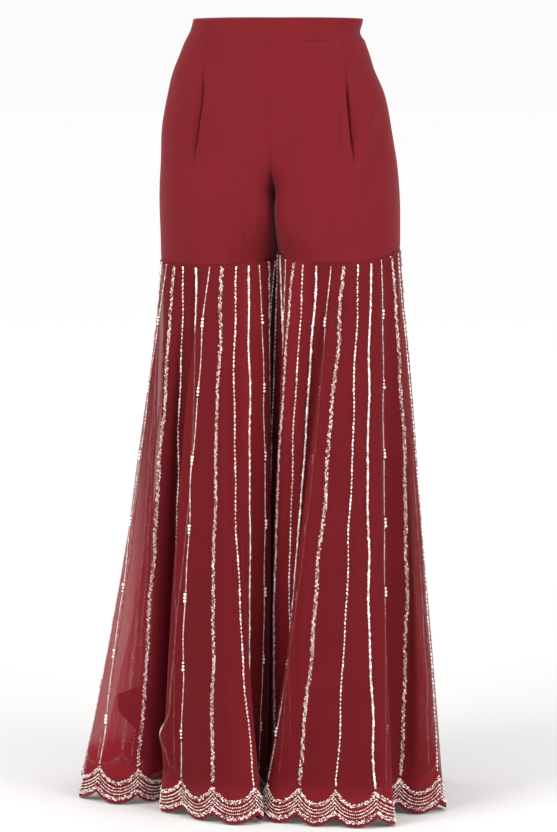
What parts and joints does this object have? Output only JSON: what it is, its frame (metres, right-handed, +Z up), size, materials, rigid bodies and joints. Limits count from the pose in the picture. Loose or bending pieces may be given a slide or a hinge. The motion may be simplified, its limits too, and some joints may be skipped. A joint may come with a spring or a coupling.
{
  "type": "flared two-tier sharara trousers",
  "caption": "Worn flared trousers: plain upper with waistband and tucks, sheer beaded flares with scalloped hems over narrower linings.",
  "frame": {"origin": "middle of the waist opening, at the top edge of the waistband", "axes": "+Z up out of the waist, front of the garment towards -Y, +X towards the wearer's left"},
  "size_m": [0.5176, 0.3984, 1.062],
  "materials": {
    "crepe": "matte plain weave, wine red",
    "georgette": "sheer, wine red, with light beads",
    "lining": "plain matte lining, dark wine red"
  },
  "bodies": {
    "root": {"waistband_front_left": "crepe", "waistband_front_right": "crepe", "waistband_back": "crepe", "upper_front_left": "crepe", "upper_front_right": "crepe", "upper_back_left": "crepe", "upper_back_right": "crepe", "flare_front_left": "georgette", "flare_front_right": "georgette", "flare_back_left": "georgette", "flare_back_right": "georgette", "lining_front_left": "lining", "lining_front_right": "lining", "lining_back_left": "lining", "lining_back_right": "lining"}
  },
  "joints": []
}
